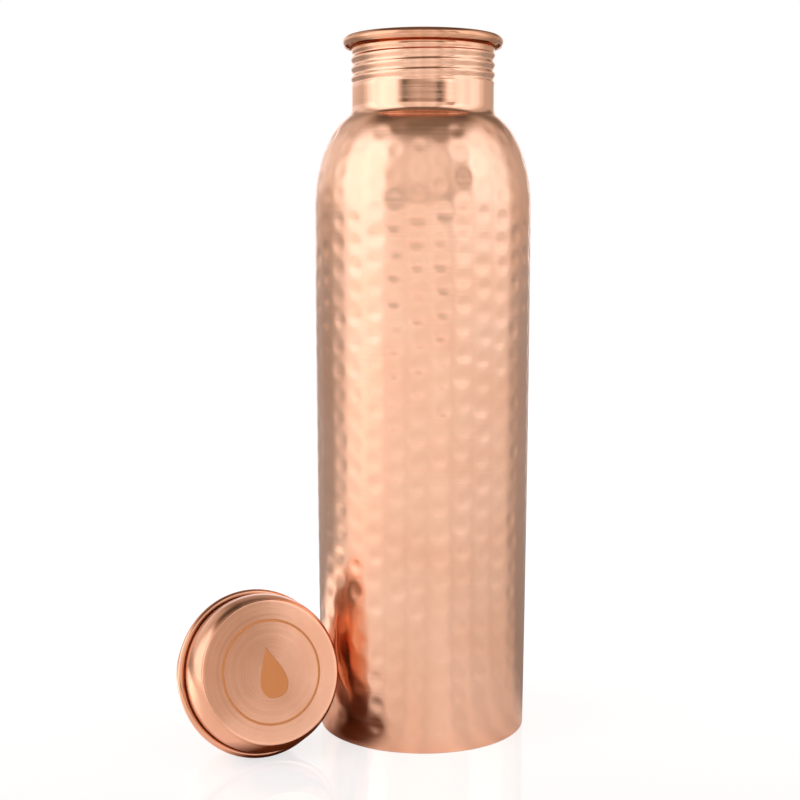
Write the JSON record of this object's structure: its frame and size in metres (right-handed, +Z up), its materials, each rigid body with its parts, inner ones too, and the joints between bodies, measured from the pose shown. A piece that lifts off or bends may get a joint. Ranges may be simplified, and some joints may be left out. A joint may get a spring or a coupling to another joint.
{
  "type": "copper water bottle",
  "caption": "Tall hammered copper water bottle with a narrow threaded neck and a rolled lip; its round screw cap with a threaded plug stands beside it.",
  "frame": {"origin": "centre of the bottle's flat underside, on the surface it stands on", "axes": "+Z up along the bottle's axis; -Y towards the viewer who sees the cap standing at the bottle's left; +X to that viewer's right"},
  "size_m": [0.1243, 0.0961, 0.247],
  "materials": {
    "hammered_copper": "hammered, satin polished copper",
    "cap_copper": "spun, fine brushed copper",
    "plain_copper": "plain drawn copper",
    "silicone": "matte translucent silicone"
  },
  "bodies": {
    "bottle": {"body_shell": "hammered_copper", "base_plate": "plain_copper"},
    "seal": {"cap_gasket": "silicone"},
    "cap": {"cap_shell": "cap_copper", "cap_plug": "plain_copper"}
  },
  "joints": [
    {"name": "cap_travel", "type": "slide", "parent": "bottle", "child": "seal", "axis": [0.4426, -0.8501, 0.2853], "range_m": [0, 0.00754]},
    {"name": "cap_turn", "type": "hinge", "parent": "seal", "child": "cap", "pos_m": [-0.0574, -0.0336, 0.02786], "axis": [0.4426, -0.8501, 0.2853], "range_deg": [0, 810]}
  ],
  "couplings": [
    {"joint": "cap_travel", "follows": "cap_turn", "m_per_rad": 0.00053317}
  ]
}
